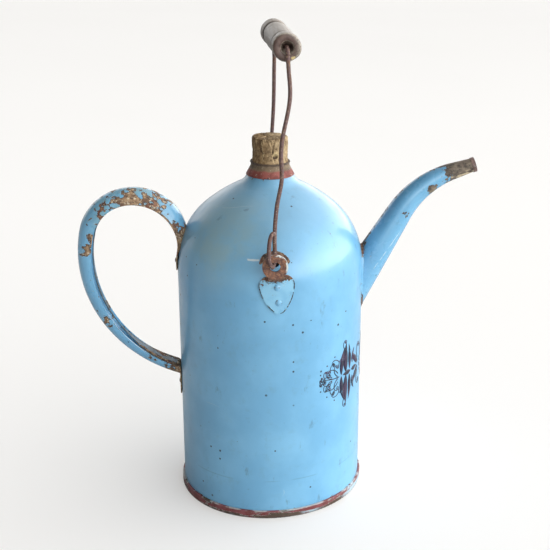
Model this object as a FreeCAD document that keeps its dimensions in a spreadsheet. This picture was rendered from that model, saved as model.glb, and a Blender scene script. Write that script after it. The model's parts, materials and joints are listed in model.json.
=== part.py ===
"""Pouring can: an enamelled sheet-steel oil can with a curved spout, a strap handle, a corked neck
and a wire bail with a turned wooden grip.

Frame: millimetres, +Z up, origin at the centre of the resting face. The spout points along +X, the
strap handle along -X, and the bail's ears are at -Y (front) and +Y (rear).
"""
import FreeCAD, Part
import math
import os

from FreeCAD import Placement, Rotation, Vector
import Sketcher

# Driving dimensions: word, value (mm or degrees), meaning.
DIMENSIONS = [
    ("body_radius", 82.5, "outside radius of the wall"),
    ("sheet", 1.0, "enamelled sheet, all layers"),
    ("gap", 0.05, "clearance between pieces that are joined"),
    ("wall_bottom", 1.2, "lower edge of the wall, inside the folded foot"),
    ("shoulder_height", 216.7, "where the wall starts to turn inwards"),
    ("shoulder_radius", 70.0, "first arc of the shoulder"),
    ("shoulder_sweep", 51.0, "degrees"),
    ("dome_radius", 148.0, "second, flatter arc of the shoulder"),
    ("dome_end", 63.9, "degrees above level where the flare starts"),
    ("flare_radius", 18.0, "hollow arc up to the neck"),
    ("flare_end", 18.0, "degrees below level at the neck's cut edge"),
    ("foot_radius", 84.5, "outside radius of the folded foot"),
    ("foot_height", 7.1, "top of the fold"),
    ("foot_inner", 80.4, "inside radius of the foot"),
    ("foot_edge", 0.8, "rounding of the fold's outer corners"),
    ("base_height", 5.0, "underside of the base above the ground"),
    ("skirt_angle", 26.0, "degrees below level at the collar's skirt"),
    ("collar_radius", 16.9, "outside radius of the collar"),
    ("collar_waist", 305.6, "height where the skirt ends"),
    ("collar_bore", 15.75, "inside radius of the collar"),
    ("collar_step", 303.0, "height where the bore starts"),
    ("lip_radius", 17.5, "out-turned lip of the collar"),
    ("lip_height", 309.4, "top of the lip"),
    ("lip_depth", 1.6, "height of the out-turned lip"),
    ("lip_edge", 0.3, "bevel of the lip's top edge"),
    ("collar_sheet", 0.9, "thickness of the collar's skirt"),
    ("cork_bottom", 295.0, "lower end of the cork"),
    ("cork_top", 331.8, "upper end of the cork"),
    ("cork_low_radius", 15.35, ""),
    ("cork_high_radius", 16.2, ""),
    ("cork_edge", 2.0, "rounding of the cork's top edge"),
    ("spout_root_x", 60.8, "start of the spout's centre line, inside the wall"),
    ("spout_root_z", 166.1, ""),
    ("spout_rise", 59.6, "degrees above level at the root"),
    ("spout_straight", 110.0, "straight lower length"),
    ("spout_bend_radius", 85.0, ""),
    ("spout_bend", 42.0, "degrees"),
    ("spout_nose", 21.0, "straight length at the tip"),
    ("spout_root_radius", 17.0, ""),
    ("spout_mid_radius", 11.6, "where the bend starts"),
    ("spout_tip_radius", 6.0, ""),
    ("ferrule_radius", 6.85, ""),
    ("ferrule_length", 3.4, ""),
    ("ferrule_edge", 0.2, ""),
    ("ferrule_bore", 6.35, "radius"),
    ("ferrule_front", 0.3, "how far the ring stands past the tube's mouth"),
    ("strap_leave", 11.1, "degrees up the shoulder where the strap leaves it"),
    ("arch_radius", 35.6, "upper arc of the handle, inner face"),
    ("arch_sweep", 178.2, "degrees"),
    ("back_radius", 108.7, "long arc of the handle, inner face"),
    ("heel_radius", 5.0, "bend where the strap turns down the wall"),
    ("channel_lap", 0.4, "how deep the channel's edges reach down beside the strip"),
    ("channel_root_depth", 7.5, "channel depth at the shoulder"),
    ("channel_arch_depth", 12.6, ""),
    ("channel_heel_depth", 9.6, ""),
    ("channel_root_half", 14.5, "half width at the shoulder"),
    ("channel_arch_half", 13.2, ""),
    ("channel_heel_half", 9.2, ""),
    ("tongue_half", 7.5, "half width of the tongues on the wall"),
    ("tongue_top", 211.5, "lower end of the upper tongue"),
    ("tongue_low", 91.0, "lower end of the lower tongue"),
    ("ear_height", 241.6, "centre of the ears' eyes"),
    ("ear_tilt", 4.8, "degrees the ears lean"),
    ("eye_front", 90.8, "distance of the eye's outer face from the axis"),
    ("eye_thickness", 2.0, ""),
    ("eye_radius", 10.6, ""),
    ("eye_hole", 4.3, "radius"),
    ("heart_half", 14.5, "half width of the heart-shaped foot"),
    ("heart_wide_drop", 21.0, "widest level below the eye's centre"),
    ("heart_notch_drop", 14.0, ""),
    ("heart_tip_drop", 42.4, "where the tip's rounding starts"),
    ("heart_tip_half", 4.2, ""),
    ("heart_tip_radius", 6.0, ""),
    ("heart_lobe_radius", 8.2, ""),
    ("heart_side_radius", 38.0, ""),
    ("heart_thickness", 1.3, ""),
    ("ear_neck_half", 6.0, "half width between heart and eye"),
    ("ear_neck_drop", 16.5, "where the neck leaves the heart, below the eye's centre"),
    ("ear_rivet_high", 20.7, "below the eye's centre"),
    ("ear_rivet_low", 34.3, "below the eye's centre"),
    ("rivet_shank", 1.6, "radius"),
    ("rivet_head", 2.9, "radius"),
    ("rivet_dome", 1.2, "height of the head"),
    ("rivet_tail", 0.8, "height of the closed end"),
    ("rivet_foot", 2.6, "radius of the closed end"),
    ("drill_reach", 10.0, "how far a drill runs past the wall on each side"),
    ("wire_radius", 1.75, "bail wire"),
    ("bail_axis_x", -1.6, "where the hooks cross the eyes; the bail swings about the eyes' centres"),
    ("crown_height", 414.3, "centre of the grip"),
    ("crown_x", 9.1, "centre of the grip; the bail leans towards the spout"),
    ("crown_yaw", 3.8, "degrees of twist of the grip about the vertical"),
    ("crown_half", 46.0, "half length of the straight wire inside the grip"),
    ("crown_bend", 7.0, "bend radius beside the grip"),
    ("grip_half", 50.0, "half length of the grip"),
    ("grip_radius", 12.0, "end beads"),
    ("grip_shoulder", 11.7, "end beads beside the grooves"),
    ("grip_waist", 10.9, "bottom of the grooves"),
    ("barrel_end", 11.2, "middle barrel beside the grooves"),
    ("groove_at", 31.0, "distance of the grooves from the middle"),
    ("groove_flank", 3.0, "half the width of a groove"),
    ("grip_edge", 2.2, "rounding of the end beads"),
    ("grip_mouth", 5.3, "radius of the flared mouth"),
    ("mouth_depth", 9.0, ""),
    ("grip_bore", 1.83, "bore radius; the wire turns inside it"),
    ("barrel_crown", 400.0, "radius of the barrel's slight swell, lengthwise"),
    ("rivet_slack", 0.45, "play of a rivet's length over the sheets it joins"),
    ("strap_rivet_high", 218.5, ""),
    ("strap_rivet_low", 101.0, ""),
    ("leg_splay", 11.6, "degrees the bail's legs spread towards the ears"),
    ("sway_top", 396.0, "height of the first of the legs' stations"),
    ("sway_step", 17.0, "drop from one station to the next"),
    ("hook_half", 4.0, "half the width of a hook across the eye"),
    ("hook_rise", 27.7, "height of a hook's cut end over the bearing line"),
]

# The bail is bent by hand: how far each leg stands towards the spout, station by station downwards.
# A hook goes out through the eye, back up and over towards its own leg: offset along X in
# millimetres, then the share of the hook's half width away from the can, then the share of its rise.
FRONT_SWAY = (13.2, 14.1, 11.6, 7.7, 6.1, 6.4, 3.0, 0.7, -0.1)
REAR_SWAY = (6.4, 6.5, 6.4, 6.1, 5.3, 4.2, 2.9, 1.5, 0.3)
HOOK = (
    (1.4, -1.00, 0.22),
    (0.8, -0.66, 0.055),
    (0.0, 0.00, 0.00),
    (-1.3, 0.68, 0.04),
    (-3.0, 1.00, 0.18),
    (-3.7, 1.03, 0.36),
    (-3.4, 0.75, 0.62),
    (-2.4, 0.15, 0.87),
    (-0.5, -0.55, 1.00),
    (1.2, -1.05, 0.97),
)
for side, sways in (("front", FRONT_SWAY), ("rear", REAR_SWAY)):
    for number, sway in enumerate(sways, start=1):
        DIMENSIONS.append((f"{side}_sway_{number}", sway, f"{side} leg, station {number}"))

doc = FreeCAD.newDocument("PouringCan")
sheet = doc.addObject("Spreadsheet::Sheet", "Params")
for row, (word, value, meaning) in enumerate(DIMENSIONS, start=1):
    sheet.set(f"A{row}", word)
    sheet.set(f"B{row}", str(value))
    sheet.set(f"C{row}", meaning)
    sheet.setAlias(f"B{row}", word)
doc.recompute()

WORDS = {word for word, _value, _meaning in DIMENSIONS}


def bound(text):
    """Write an expression in sheet words as FreeCAD reads it: body_radius becomes Params.body_radius."""
    out = ""
    word = ""
    for letter in text + " ":
        if letter.isalnum() or letter == "_":
            word += letter
            continue
        out += f"Params.{word}" if word in WORDS else word
        out += letter
        word = ""
    return out.strip()


def size(text):
    """The present value of an expression in sheet words."""
    return float(sheet.evalExpression(bound(text)))


def plane(body, role):
    return next(part for part in body.Origin.OriginFeatures if part.Role == role)


def arc_between(start, end, radius, turn):
    """A circular edge from start to end; turn is +1 for anticlockwise and -1 for clockwise."""
    half = (end - start) / 2
    rise = math.sqrt(max(radius * radius - half.Length ** 2, 0.0))
    side = Vector(-half.y, half.x, 0).normalize() * rise * turn
    centre = start + half + side
    first, last = (start, end) if turn > 0 else (end, start)
    begin = math.atan2(first.y - centre.y, first.x - centre.x)
    finish = math.atan2(last.y - centre.y, last.x - centre.x)
    return Part.ArcOfCircle(Part.Circle(centre, Vector(0, 0, 1), radius), begin, finish)


def draw(sketch, corners, closed=True):
    """Draw an outline whose corners and radii are bound to the sheet.

    Each corner is (x, y) or (x, y, radius, turn): with a radius, the side that leaves it is an arc.
    """
    places = [Vector(size(corner[0]), size(corner[1]), 0) for corner in corners]
    count = len(corners) if closed else len(corners) - 1
    ends = []
    for index in range(count):
        start, end = places[index], places[(index + 1) % len(corners)]
        if len(corners[index]) == 2:
            edge = sketch.addGeometry(Part.LineSegment(start, end), False)
            ends.append((edge, 1, 2))
            continue
        radius, turn = corners[index][2:]
        edge = sketch.addGeometry(arc_between(start, end, size(radius), turn), False)
        ends.append((edge, 1, 2) if turn > 0 else (edge, 2, 1))
        sketch.addConstraint(Sketcher.Constraint("Radius", edge, size(radius)))
        sketch.renameConstraint(sketch.ConstraintCount - 1, f"radius_{index}")
        sketch.setExpression(f"Constraints.radius_{index}", bound(radius))
    for index in range(count if closed else count - 1):
        edge, _start, finish = ends[index]
        following, begin, _finish = ends[(index + 1) % count]
        sketch.addConstraint(Sketcher.Constraint("Coincident", edge, finish, following, begin))
    for index, corner in enumerate(corners):
        if index < count:
            edge, point = ends[index][0], ends[index][1]
        else:
            edge, point = ends[-1][0], ends[-1][2]
        for axis, kind, text in ((-2, "DistanceX", corner[0]), (-1, "DistanceY", corner[1])):
            if text == "0":
                sketch.addConstraint(Sketcher.Constraint("PointOnObject", edge, point, axis))
                continue
            sketch.addConstraint(Sketcher.Constraint(kind, -1, 1, edge, point, size(text)))
            sketch.renameConstraint(sketch.ConstraintCount - 1, f"{kind}_{index}")
            sketch.setExpression(f"Constraints.{kind}_{index}", bound(text))


def turned(label, corners, role="XZ_Plane"):
    """A body of revolution about its sketch's vertical axis."""
    body = doc.addObject("PartDesign::Body", label)
    body.Label = label
    sketch = body.newObject("Sketcher::SketchObject", f"{label}_outline")
    sketch.AttachmentSupport = [(plane(body, role), "")]
    sketch.MapMode = "FlatFace"
    draw(sketch, corners)
    turn = body.newObject("PartDesign::Revolution", f"{label}_turn")
    turn.Profile = sketch
    turn.ReferenceAxis = (sketch, ["V_Axis"])
    turn.Angle = 360
    doc.recompute()
    return body


def combined(kind, label, base, tool):
    """A Part::Cut, Part::Common or Part::Fuse of two objects."""
    result = doc.addObject(kind, label)
    result.Label = label
    result.Base = base
    result.Tool = tool
    doc.recompute()
    return result


# The can's outer profile: wall, shoulder arc, dome arc and the hollow flare of the neck. Each arc
# keeps its centre when the sheet's thickness is taken off, so the same function gives every face.
DOME_X = "(body_radius - shoulder_radius - (dome_radius - shoulder_radius) * cos(shoulder_sweep))"
DOME_Z = "(shoulder_height - (dome_radius - shoulder_radius) * sin(shoulder_sweep))"
FLARE_X = f"({DOME_X} + (dome_radius + flare_radius) * cos(dome_end))"
FLARE_Z = f"({DOME_Z} + (dome_radius + flare_radius) * sin(dome_end))"


def profile(offset, start):
    """Corners of the profile, moved outwards by offset, from the wall's height start to the neck."""
    return [
        (f"body_radius + {offset}", start),
        (f"body_radius + {offset}", "shoulder_height", f"shoulder_radius + {offset}", 1),
        (
            f"body_radius - shoulder_radius + (shoulder_radius + {offset}) * cos(shoulder_sweep)",
            f"shoulder_height + (shoulder_radius + {offset}) * sin(shoulder_sweep)",
            f"dome_radius + {offset}",
            1,
        ),
        (
            f"{DOME_X} + (dome_radius + {offset}) * cos(dome_end)",
            f"{DOME_Z} + (dome_radius + {offset}) * sin(dome_end)",
            f"flare_radius - ({offset})",
            -1,
        ),
        flare_point(offset, "flare_end"),
    ]


def flare_point(offset, angle):
    """A point on the hollow flare, at an angle below level, moved outwards by offset."""
    return (
        f"{FLARE_X} - (flare_radius - ({offset})) * cos({angle})",
        f"{FLARE_Z} - (flare_radius - ({offset})) * sin({angle})",
    )


def reversed_outline(corners):
    """The same outline walked the other way: each arc moves to its other end and turns back."""
    result = []
    for index in range(len(corners) - 1, -1, -1):
        arc = corners[index - 1][2:] if index > 0 else ()
        result.append(corners[index][:2] + ((arc[0], -arc[1]) if arc else ()))
    return result


def envelope(label, offset):
    """The can's filled outer form, moved outwards: a cutting tool, not a piece."""
    corners = profile(offset, "0 - 1")
    top = corners[-1][1]
    return turned(label, corners + [("0", top), ("0", "0 - 1")])


def rivet_shape(through):
    """A domed rivet along +X: its head stands at x = 0 and its shank runs back through the sheets."""
    shank, head, dome = size("rivet_shank"), size("rivet_head"), size("rivet_dome")
    tail = size("rivet_tail")
    ball = (head * head + dome * dome) / (2 * dome)
    half_way = math.asin(head / ball) / 2
    middle = Vector(dome - ball * (1 - math.cos(half_way)), ball * math.sin(half_way), 0)
    crown = Part.Arc(Vector(0, head, 0), middle, Vector(dome, 0, 0)).toShape()
    back = Part.makePolygon([Vector(dome, 0, 0), Vector(0, 0, 0), Vector(0, head, 0)])
    domed_head = Part.Face(Part.Wire([crown] + back.Edges)).revolve(Vector(0, 0, 0), Vector(1, 0, 0), 360)
    length = through + tail
    pin = Part.makeCylinder(shank, length, Vector(-length, 0, 0), Vector(1, 0, 0))
    closed_end = Part.makeCylinder(size("rivet_foot"), tail, Vector(-length, 0, 0), Vector(1, 0, 0))
    return domed_head.fuse([pin, closed_end]).removeSplitter()


def shape_feature(label, shape):
    """A piece whose shape is made in code from the sheet's sizes."""
    feature = doc.addObject("Part::Feature", label)
    feature.Label = label
    feature.Shape = shape
    feature.Placement = Placement(Vector(0, 0, 0), Rotation())
    return feature


def circle_at(label, radius, x, z, heading):
    """A circle square to a line in the XZ plane that rises at an angle."""
    ring = doc.addObject("Part::Circle", label)
    ring.setExpression("Radius", bound(radius))
    ring.Placement = Placement(Vector(0, 0, 0), Rotation(Vector(0, 1, 0), 0))
    ring.setExpression("Placement.Base.x", bound(x))
    ring.setExpression("Placement.Base.z", bound(z))
    ring.Placement.Rotation.Axis = Vector(0, 1, 0)
    ring.setExpression("Placement.Rotation.Angle", bound(f"90 - ({heading})"))
    return ring


# ---------------------------------------------------------------- body
outer = profile("0", "wall_bottom")
inner = profile("0 - sheet", "wall_bottom")
blank = turned("body_blank", outer + reversed_outline(inner))
can_form = envelope("can_form", "gap")
ear_form = envelope("ear_form", "heart_thickness + gap")

# ---------------------------------------------------------------- base with its folded foot
base_plate = turned(
    "base_plate",
    [
        ("0", "base_height + sheet"),
        ("0", "base_height"),
        ("foot_inner", "base_height"),
        ("foot_inner", "0"),
        ("foot_radius - foot_edge", "0", "foot_edge", 1),
        ("foot_radius", "foot_edge"),
        ("foot_radius", "foot_height - foot_edge", "foot_edge", 1),
        ("foot_radius - foot_edge", "foot_height"),
        ("body_radius + gap", "foot_height"),
        ("body_radius + gap", "wall_bottom - gap"),
        ("body_radius - sheet - gap", "wall_bottom - gap"),
        ("body_radius - sheet - gap", "base_height + sheet"),
    ],
)

# ---------------------------------------------------------------- neck collar and cork
skirt_out = flare_point("gap + collar_sheet", "skirt_angle")
skirt_in = flare_point("gap", "skirt_angle")
edge_in = flare_point("gap", "flare_end")
neck_collar = turned(
    "neck_collar",
    [
        skirt_in,
        skirt_out,
        ("collar_radius", "collar_waist"),
        ("collar_radius", "lip_height - lip_depth"),
        ("lip_radius", "lip_height - lip_depth / 2"),
        ("lip_radius - lip_edge", "lip_height"),
        ("collar_bore", "lip_height"),
        ("collar_bore", "collar_step"),
        edge_in + ("flare_radius - gap", 1),
    ],
)

cork_stopper = turned(
    "cork_stopper",
    [
        ("0", "cork_bottom"),
        ("cork_low_radius", "cork_bottom"),
        ("cork_high_radius", "cork_top - cork_edge", "cork_edge", 1),
        ("cork_high_radius - cork_edge", "cork_top"),
        ("0", "cork_top"),
    ],
)

# ---------------------------------------------------------------- spout
BEND_X = "(spout_root_x + spout_straight * cos(spout_rise))"
BEND_Z = "(spout_root_z + spout_straight * sin(spout_rise))"
TIP_RISE = "(spout_rise - spout_bend)"
NOSE_X = f"({BEND_X} + spout_bend_radius * (sin(spout_rise) - sin({TIP_RISE})))"
NOSE_Z = f"({BEND_Z} - spout_bend_radius * (cos(spout_rise) - cos({TIP_RISE})))"
TIP_X = f"({NOSE_X} + spout_nose * cos({TIP_RISE}))"
TIP_Z = f"({NOSE_Z} + spout_nose * sin({TIP_RISE}))"

spout_line = doc.addObject("Sketcher::SketchObject", "spout_line")
spout_line.Placement = Placement(Vector(0, 0, 0), Rotation(Vector(1, 0, 0), 90))
draw(
    spout_line,
    [
        ("spout_root_x", "spout_root_z"),
        (BEND_X, BEND_Z, "spout_bend_radius", -1),
        (NOSE_X, NOSE_Z),
        (TIP_X, TIP_Z),
    ],
    closed=False,
)
doc.recompute()


def spout_sweep(label, thinner):
    """The spout's tapered form, less the sheet's thickness for its bore."""
    rings = [
        circle_at(f"{label}_{part}", f"spout_{part}_radius - {thinner}", x, z, heading)
        for part, x, z, heading in (
            ("root", "spout_root_x", "spout_root_z", "spout_rise"),
            ("mid", BEND_X, BEND_Z, "spout_rise"),
            ("tip", TIP_X, TIP_Z, TIP_RISE),
        )
    ]
    sweep = doc.addObject("Part::Sweep", label)
    sweep.Sections = rings
    sweep.Spine = (spout_line, [f"Edge{number}" for number in (1, 2, 3)])
    sweep.Solid = True
    sweep.Frenet = True
    doc.recompute()
    return sweep


spout_form = spout_sweep("spout_form", "0")
spout_bore = spout_sweep("spout_bore", "sheet")
spout_pipe = combined("Part::Cut", "spout_pipe", spout_form, spout_bore)
spout_tube = combined("Part::Cut", "spout_tube", spout_pipe, can_form)

spout_ferrule = turned(
    "spout_ferrule",
    [
        ("ferrule_bore", "0"),
        ("ferrule_radius - ferrule_edge", "0", "ferrule_edge", 1),
        ("ferrule_radius", "ferrule_edge"),
        ("ferrule_radius", "ferrule_length - ferrule_edge", "ferrule_edge", 1),
        ("ferrule_radius - ferrule_edge", "ferrule_length"),
        ("ferrule_bore", "ferrule_length"),
    ],
)
FERRULE_BACK = "(ferrule_length - ferrule_front)"
spout_ferrule.Placement = Placement(Vector(0, 0, 0), Rotation(Vector(0, 1, 0), 0))
spout_ferrule.setExpression("Placement.Base.x", bound(f"{TIP_X} - {FERRULE_BACK} * cos({TIP_RISE})"))
spout_ferrule.setExpression("Placement.Base.z", bound(f"{TIP_Z} - {FERRULE_BACK} * sin({TIP_RISE})"))
spout_ferrule.Placement.Rotation.Axis = Vector(0, 1, 0)
spout_ferrule.setExpression("Placement.Rotation.Angle", bound(f"90 - {TIP_RISE}"))
doc.recompute()

# ---------------------------------------------------------------- handle: strip and channel


def strap_path():
    """The strap's inner face in the XZ plane, from the upper tongue over the arch to the lower one.

    Returns the edges of the whole path, and the key places as (point, outward direction).
    """
    stand = size("gap + sheet")
    leave, radius, arch = size("strap_leave"), size("shoulder_radius") + stand, size("arch_radius")
    back, heel = size("back_radius"), size("heel_radius")

    def ray(angle):
        return Vector(math.cos(math.radians(angle)), 0, math.sin(math.radians(angle)))

    def arc(centre, distance, start, end):
        places = [centre + ray(angle) * distance for angle in (start, (start + end) / 2, end)]
        return Part.Arc(*places).toShape()

    shoulder = Vector(size("shoulder_radius - body_radius"), 0, size("shoulder_height"))
    tongue = Vector(shoulder.x - radius, 0, size("tongue_top"))
    wall = shoulder - Vector(radius, 0, 0)
    arch_centre = shoulder + ray(180 - leave) * (radius + arch)
    arch_end = size("arch_sweep") - leave
    back_centre = arch_centre - ray(arch_end) * (back - arch)
    face = -size("body_radius + gap")
    back_end = 360 - math.degrees(math.acos((face - heel - back_centre.x) / (back + heel)))
    heel_centre = back_centre + ray(back_end) * (back + heel)
    foot = heel_centre + ray(0) * heel
    low = Vector(foot.x, 0, size("tongue_low"))
    edges = {
        "tongue": Part.makeLine(tongue, wall),
        "shoulder": arc(shoulder, radius, 180, 180 - leave),
        "arch": arc(arch_centre, arch, -leave, arch_end),
        "back": arc(back_centre, back, arch_end, back_end),
        "heel": arc(heel_centre, heel, back_end - 180, 0),
        "low": Part.makeLine(foot, low),
    }
    crest = (arch_end - leave) / 2
    places = {
        "tongue": (tongue, ray(0)),
        "leave": (arch_centre + ray(-leave) * arch, ray(-leave)),
        "crest": (arch_centre + ray(crest) * arch, ray(crest)),
        "heel": (back_centre + ray(back_end) * back, ray(back_end)),
        "low": (low, ray(180)),
    }
    return edges, places


def swept(path, sections, sideways):
    """A solid that follows a path through its sections, which never roll about the path.

    sideways is square to the plane the path lies in, or nearly lies in.
    """
    pipe = Part.BRepOffsetAPI.MakePipeShell(Part.Wire(path))
    pipe.setBiNormalMode(sideways)
    for section in sections:
        pipe.add(section, False, False)
    pipe.build()
    pipe.makeSolid()
    return pipe.shape()


def ribbon_section(place, half):
    point, out = place
    side = Vector(0, half, 0)
    far = point + out * size("sheet")
    return Part.makePolygon([point - side, point + side, far + side, far - side, point - side])


def channel_section(place, depth, half, base):
    """A flat-bottomed bow: its chord stands off the path by base, its crown by depth."""
    point, out = place
    side = Vector(0, half, 0)
    low = point + out * base
    bow = Part.Arc(low - side, point + out * depth, low + side).toShape()
    return Part.Wire([bow, Part.makeLine(low + side, low - side)])


edges, places = strap_path()
tongue_half = size("tongue_half")
halves = [size(f"channel_{part}_half") for part in ("root", "arch", "heel")]
depths = [size(f"channel_{part}_depth") for part in ("root", "arch", "heel")]
stations = [places[name] for name in ("leave", "crest", "heel")]
strip = swept(
    list(edges.values()),
    [ribbon_section(places["tongue"], tongue_half)]
    + [ribbon_section(place, half) for place, half in zip(stations, halves)]
    + [ribbon_section(places["low"], tongue_half)],
    Vector(0, 1, 0),
)


def channel_form(thinner, base):
    """The channel's filled form between the arch's root and the heel, run on into the wall."""
    sections = [
        channel_section(place, depth - thinner, half - thinner, base)
        for place, depth, half in zip(stations, depths, halves)
    ]
    heel, out = places["heel"]
    ahead = Vector(-out.z, 0, out.x) * size("heel_radius + 4 * sheet")
    last = channel_section((heel + ahead, out), depths[2] - thinner, halves[2] - thinner, base)
    path = [edges["arch"], edges["back"], Part.makeLine(heel, heel + ahead)]
    return swept(path, sections + [last], Vector(0, 1, 0))


def strap_rivet_holes():
    shank, reach = size("rivet_shank + gap"), size("drill_reach")
    holes = []
    for word in ("strap_rivet_high", "strap_rivet_low"):
        outside = Vector(-size("body_radius") - reach, 0, size(word))
        holes.append(Part.makeCylinder(shank, 2 * reach, outside, Vector(1, 0, 0)))
    return holes


handle_strip = shape_feature("handle_strip", strip.cut(strap_rivet_holes()))
shell = channel_form(0, size("sheet + gap")).cut([channel_form(size("sheet"), size("channel_lap"))])
trimmed = shell.cut([can_form.Shape, strip])
handle_channel = shape_feature("handle_channel", max(trimmed.Solids, key=lambda solid: solid.Volume))

strap_rivet = rivet_shape(size("2 * sheet + gap + rivet_slack"))
rivets = []
for word in ("strap_rivet_high", "strap_rivet_low"):
    copy = strap_rivet.copy()
    stand = Vector(-size("body_radius + gap + sheet"), 0, size(word))
    copy.Placement = Placement(stand, Rotation(Vector(0, 0, 1), 180))
    rivets.append(copy)
handle_rivets = shape_feature("handle_rivets", Part.makeCompound(rivets))

# ---------------------------------------------------------------- ears
heart = doc.addObject("Sketcher::SketchObject", "heart")
lean = Rotation(Vector(0, 1, 0), -size("ear_tilt"))
heart.Placement = Placement(Vector(0, -size("body_radius") / 2, 0), lean * Rotation(Vector(1, 0, 0), 90))
heart.setExpression("Placement.Base.z", bound("ear_height"))
tip_left = ("0 - heart_tip_half", "0 - heart_tip_drop", "heart_tip_radius", 1)
tip_right = ("heart_tip_half", "0 - heart_tip_drop", "heart_side_radius", 1)
wide_right = ("heart_half", "0 - heart_wide_drop", "heart_lobe_radius", 1)
notch = ("0", "0 - heart_notch_drop", "heart_lobe_radius", 1)
wide_left = ("0 - heart_half", "0 - heart_wide_drop", "heart_side_radius", 1)
draw(heart, [tip_left, tip_right, wide_right, notch, wide_left])
prism = doc.addObject("Part::Extrusion", "heart_prism")
prism.Base = heart
prism.DirMode = "Custom"
prism.Dir = Vector(0, -1, 0)
prism.setExpression("LengthFwd", bound("body_radius"))
prism.Solid = True
foot = combined("Part::Common", "ear_foot", prism, ear_form)

bend = doc.addObject("Sketcher::SketchObject", "ear_bend")
bend.Placement = Placement(Vector(0, 0, 0), Rotation(Vector(1, 1, 1), 120))
bend.setExpression("Placement.Base.x", bound("0 - ear_neck_half"))
draw(
    bend,
    [
        ("0 - (eye_front - eye_thickness)", "ear_height - eye_radius + 2 * eye_thickness"),
        ("0 - eye_front", "ear_height - eye_radius + 2 * eye_thickness"),
        ("0 - eye_front", "ear_height - eye_radius + sheet"),
        ("0 - (body_radius + heart_thickness)", "ear_height - ear_neck_drop"),
        ("0 - (body_radius - sheet)", "ear_height - ear_neck_drop"),
        ("0 - (eye_front - eye_thickness)", "ear_height - eye_radius + 2 * sheet"),
    ],
)
neck = doc.addObject("Part::Extrusion", "ear_neck")
neck.Base = bend
neck.DirMode = "Custom"
neck.Dir = Vector(1, 0, 0)
neck.setExpression("LengthFwd", bound("2 * ear_neck_half"))
neck.Solid = True

eye = doc.addObject("Part::Cylinder", "ear_eye")
eye.setExpression("Radius", bound("eye_radius"))
eye.setExpression("Height", bound("eye_thickness"))
eye.Placement = Placement(Vector(0, 0, 0), Rotation(Vector(1, 0, 0), 90))
eye.setExpression("Placement.Base.y", bound("0 - (eye_front - eye_thickness)"))
eye.setExpression("Placement.Base.z", bound("ear_height"))


def bore(label, radius, x, z):
    """A drill along -Y from inside the can: a cutting tool, not a piece."""
    drill = doc.addObject("Part::Cylinder", label)
    drill.setExpression("Radius", bound(radius))
    drill.setExpression("Height", bound("eye_front - body_radius + 2 * drill_reach"))
    drill.Placement = Placement(Vector(0, 0, 0), Rotation(Vector(1, 0, 0), 90))
    drill.setExpression("Placement.Base.x", bound(x))
    drill.setExpression("Placement.Base.y", bound("drill_reach - body_radius"))
    drill.setExpression("Placement.Base.z", bound(z))
    return drill


eye_drill = bore("eye_drill", "eye_hole", "0", "ear_height")
ear_drills = []
for drop in ("ear_rivet_high", "ear_rivet_low"):
    across, height = f"{drop} * sin(ear_tilt)", f"ear_height - {drop} * cos(ear_tilt)"
    ear_drills.append(bore(f"{drop}_drill", "rivet_shank + gap", across, height))
blend = doc.addObject("Part::MultiFuse", "ear_blend")
blend.Shapes = [foot, neck, eye]
drills = doc.addObject("Part::MultiFuse", "ear_drills")
drills.Shapes = [eye_drill] + ear_drills
trimmed_ear = combined("Part::Cut", "ear_trimmed", blend, can_form)
front_ear = combined("Part::Cut", "front_ear", trimmed_ear, drills)
rear_ear = doc.addObject("Part::Mirroring", "rear_ear")
rear_ear.Label = "rear_ear"
rear_ear.Source = front_ear
rear_ear.Normal = Vector(0, 1, 0)
doc.recompute()

ear_rivet = rivet_shape(size("heart_thickness + sheet + 2 * gap + rivet_slack"))
rivets = []
for drop in ("ear_rivet_high", "ear_rivet_low"):
    across, height = size(f"{drop} * sin(ear_tilt)"), size(f"ear_height - {drop} * cos(ear_tilt)")
    stand = size("body_radius + gap + heart_thickness")
    for side in (-1, 1):
        copy = ear_rivet.copy()
        copy.Placement = Placement(Vector(across, side * stand, height), Rotation(Vector(0, 0, 1), 90 * side))
        rivets.append(copy)
ear_rivets = shape_feature("ear_rivets", Part.makeCompound(rivets))

# ---------------------------------------------------------------- finished body
rear_drills = doc.addObject("Part::Mirroring", "rear_drills")
rear_drills.Source = drills
rear_drills.Normal = Vector(0, 1, 0)
strap_drills = doc.addObject("Part::Feature", "strap_drills")
strap_drills.Shape = Part.makeCompound(strap_rivet_holes())
openings = doc.addObject("Part::MultiFuse", "openings")
openings.Shapes = [spout_bore, drills, rear_drills, strap_drills]
doc.recompute()
body_shell = combined("Part::Cut", "body_shell", blank, openings)

# ---------------------------------------------------------------- bail
CROWN_SLOPE = math.tan(math.radians(size("crown_yaw")))
CROWN_STATIONS = (0.02, 0.05, 0.1, 0.3, 0.5, 0.7, 0.9, 0.95, 0.98)


def leg_points(side, name):
    """Places along one half of the bail, from the straight crown down to the hook's cut end."""
    half, bend_radius, crown = size("crown_half"), size("crown_bend"), size("crown_height")
    splay = math.radians(size("leg_splay"))
    points = []

    def add(x, out, z):
        points.append(Vector(x, side * out, z))

    def crown_x(out):
        return size("crown_x") - side * out * CROWN_SLOPE

    add(crown_x(half), half, crown)
    turn = math.pi / 2 - splay
    for share in (1 / 3, 2 / 3, 1):
        out = half + bend_radius * math.sin(turn * share)
        add(crown_x(out), out, crown - bend_radius * (1 - math.cos(turn * share)))
    knee = points[-1]
    for number in range(len(FRONT_SWAY)):
        z = size(f"sway_top - {number} * sway_step")
        out = abs(knee.y) + (knee.z - z) * math.tan(splay)
        add(size(f"{name}_sway_{number + 1}"), out, z)

    axis_x, axis_z = size("bail_axis_x"), size("ear_height")
    middle, across, rise = size("eye_front - eye_thickness / 2"), size("hook_half"), size("hook_rise")
    for x, over, up in HOOK:
        add(axis_x + x, middle + across * over, axis_z + rise * up)
    return points


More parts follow.
